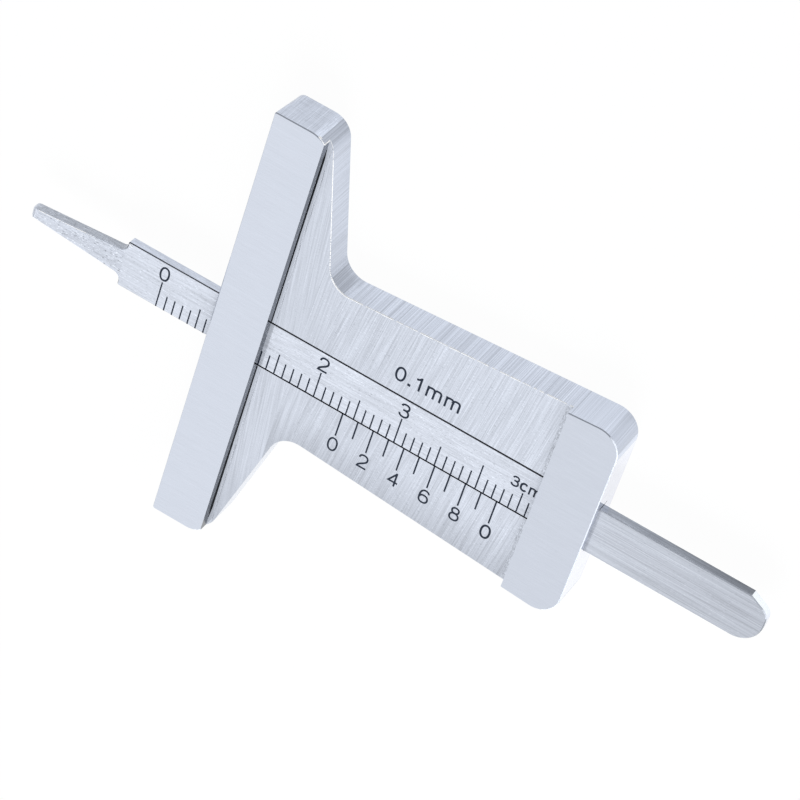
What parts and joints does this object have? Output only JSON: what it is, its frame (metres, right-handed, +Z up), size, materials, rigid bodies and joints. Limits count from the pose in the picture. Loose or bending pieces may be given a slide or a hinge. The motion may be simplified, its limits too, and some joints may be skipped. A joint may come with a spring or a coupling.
{
  "type": "vernier depth gauge",
  "caption": "Pocket vernier depth gauge: a one-piece T-shaped steel body with a milled vernier window, a flat graduated depth rod with a slim probe, and a leaf spring that brakes it.",
  "frame": {"origin": "centre of the measuring face, at mid length of the crossbar and mid thickness of the body", "axes": "+X along the depth rod, out of the body's back and away from the probe; +Y along the crossbar; +Z up, out of the face with the scales"},
  "size_m": [0.0904, 0.055, 0.0052],
  "materials": {
    "body_steel": "fine ground satin, milled recess brushed across the rod",
    "rod_steel": "ground along its length",
    "spring_steel": "rolled strip"
  },
  "bodies": {
    "frame": {"body": "body_steel", "leaf_spring": "spring_steel"},
    "rod": {"depth_rod": "rod_steel"}
  },
  "joints": [
    {"name": "rod_slide", "type": "slide", "parent": "frame", "child": "rod", "axis": [1, 0, 0], "range_m": [-0.0063, 0.0237]}
  ]
}
